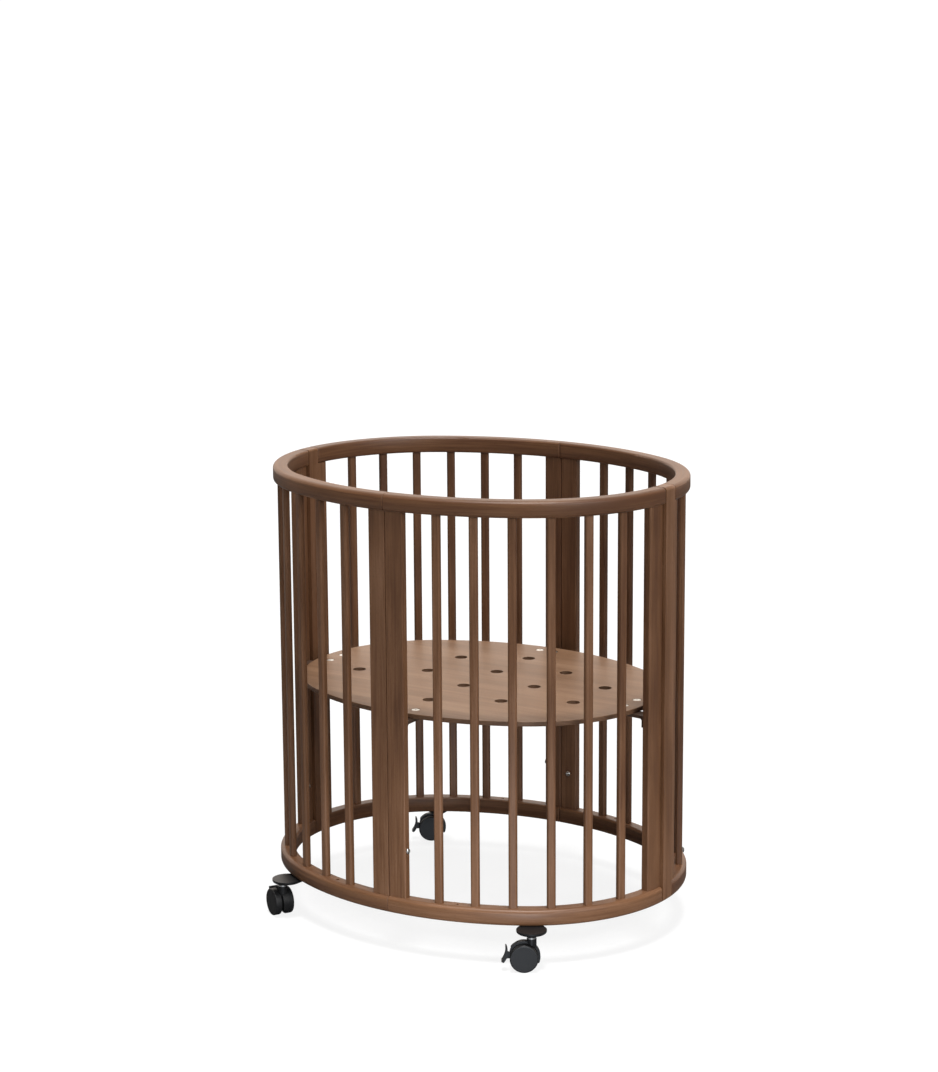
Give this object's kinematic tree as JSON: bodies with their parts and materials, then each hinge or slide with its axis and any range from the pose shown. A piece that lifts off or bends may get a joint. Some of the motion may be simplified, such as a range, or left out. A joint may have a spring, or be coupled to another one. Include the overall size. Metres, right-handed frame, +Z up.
{
  "type": "baby crib",
  "caption": "Small oval slatted wooden baby crib with a perforated mattress board and braked swivel casters.",
  "frame": {"origin": "on the floor, below the middle of the oval", "axes": "+X along the oval's length, +Y across it towards the far side, +Z up"},
  "size_m": [0.82, 0.658, 0.8595],
  "materials": {
    "frame_wood": "dark stained beech, satin",
    "board_wood": "stained plywood, satin",
    "bracket_plastic": "dark brown moulded, matt",
    "bolt_steel": "zinc plated",
    "steel": "bright zinc",
    "caster_plastic": "black moulded, satin",
    "wheel_plastic": "black moulded, matt"
  },
  "bodies": {
    "frame": {"board_bolts": "bolt_steel", "board_brackets": "bracket_plastic", "bottom_rail_far_left": "frame_wood", "bottom_rail_far_right": "frame_wood", "bottom_rail_near_left": "frame_wood", "bottom_rail_near_right": "frame_wood", "bracket_bolts": "bolt_steel", "caster_plates": "caster_plastic", "caster_stems": "steel", "end_post_near_left": "frame_wood", "end_post_near_right": "frame_wood", "end_stile_far_left": "frame_wood", "end_stile_far_right": "frame_wood", "joint_bolts": "bolt_steel", "mattress_board": "board_wood", "side_post_far_left": "frame_wood", "side_post_far_right": "frame_wood", "side_post_near_left": "frame_wood", "side_post_near_right": "frame_wood", "slat_far_left_1": "frame_wood", "slat_far_left_2": "frame_wood", "slat_far_left_3": "frame_wood", "slat_far_left_4": "frame_wood", "slat_far_left_5": "frame_wood", "slat_far_left_6": "frame_wood", "slat_far_right_1": "frame_wood", "slat_far_right_2": "frame_wood", "slat_far_right_3": "frame_wood", "slat_far_right_4": "frame_wood", "slat_far_right_5": "frame_wood", "slat_far_right_6": "frame_wood", "slat_near_left_1": "frame_wood", "slat_near_left_2": "frame_wood", "slat_near_left_3": "frame_wood", "slat_near_left_4": "frame_wood", "slat_near_left_5": "frame_wood", "slat_near_left_6": "frame_wood", "slat_near_right_1": "frame_wood", "slat_near_right_2": "frame_wood", "slat_near_right_3": "frame_wood", "slat_near_right_4": "frame_wood", "slat_near_right_5": "frame_wood", "slat_near_right_6": "frame_wood", "spare_bolts": "bolt_steel", "top_rail_far_left": "frame_wood", "top_rail_far_right": "frame_wood", "top_rail_near_left": "frame_wood", "top_rail_near_right": "frame_wood"},
    "swivel_near_left": {"caster_hood_near_left": "caster_plastic"},
    "wheels_near_left": {"caster_wheels_near_left": "wheel_plastic"},
    "brake_near_left": {"brake_lever_near_left": "caster_plastic"},
    "swivel_near_right": {"caster_hood_near_right": "caster_plastic"},
    "wheels_near_right": {"caster_wheels_near_right": "wheel_plastic"},
    "brake_near_right": {"brake_lever_near_right": "caster_plastic"},
    "swivel_far_left": {"caster_hood_far_left": "caster_plastic"},
    "wheels_far_left": {"caster_wheels_far_left": "wheel_plastic"},
    "brake_far_left": {"brake_lever_far_left": "caster_plastic"},
    "swivel_far_right": {"caster_hood_far_right": "caster_plastic"},
    "wheels_far_right": {"caster_wheels_far_right": "wheel_plastic"},
    "brake_far_right": {"brake_lever_far_right": "caster_plastic"}
  },
  "joints": [
    {"name": "caster_swivel_near_left", "type": "hinge", "parent": "frame", "child": "swivel_near_left", "pos_m": [-0.2777, -0.2757, 0.06], "axis": [0, 0, 1], "continuous": true},
    {"name": "wheel_roll_near_left", "type": "hinge", "parent": "swivel_near_left", "child": "wheels_near_left", "pos_m": [-0.2897, -0.26849, 0.026], "axis": [-0.515, -0.8572, 0], "continuous": true},
    {"name": "brake_near_left", "type": "hinge", "parent": "swivel_near_left", "child": "brake_near_left", "pos_m": [-0.30599, -0.2587, 0.027], "axis": [-0.515, -0.8572, 0], "range_deg": [0, 10]},
    {"name": "caster_swivel_near_right", "type": "hinge", "parent": "frame", "child": "swivel_near_right", "pos_m": [0.2777, -0.2757, 0.06], "axis": [0, 0, 1], "continuous": true},
    {"name": "wheel_roll_near_right", "type": "hinge", "parent": "swivel_near_right", "child": "wheels_near_right", "pos_m": [0.26583, -0.28312, 0.026], "axis": [0.5299, -0.848, 0], "continuous": true},
    {"name": "brake_near_right", "type": "hinge", "parent": "swivel_near_right", "child": "brake_near_right", "pos_m": [0.24971, -0.29319, 0.027], "axis": [0.5299, -0.848, 0], "range_deg": [0, 10]},
    {"name": "caster_swivel_far_left", "type": "hinge", "parent": "frame", "child": "swivel_far_left", "pos_m": [-0.2777, 0.2757, 0.06], "axis": [0, 0, 1], "continuous": true},
    {"name": "wheel_roll_far_left", "type": "hinge", "parent": "swivel_far_left", "child": "wheels_far_left", "pos_m": [-0.28957, 0.26828, 0.026], "axis": [0.5299, -0.848, 0], "continuous": true},
    {"name": "brake_far_left", "type": "hinge", "parent": "swivel_far_left", "child": "brake_far_left", "pos_m": [-0.30569, 0.25821, 0.027], "axis": [0.5299, -0.848, 0], "range_deg": [0, 10]},
    {"name": "caster_swivel_far_right", "type": "hinge", "parent": "frame", "child": "swivel_far_right", "pos_m": [0.2777, 0.2757, 0.06], "axis": [0, 0, 1], "continuous": true},
    {"name": "wheel_roll_far_right", "type": "hinge", "parent": "swivel_far_right", "child": "wheels_far_right", "pos_m": [0.26967, 0.28717, 0.026], "axis": [-0.8192, -0.5736, 0], "continuous": true},
    {"name": "brake_far_right", "type": "hinge", "parent": "swivel_far_right", "child": "brake_far_right", "pos_m": [0.25877, 0.30273, 0.027], "axis": [-0.8192, -0.5736, 0], "range_deg": [0, 10]}
  ]
}
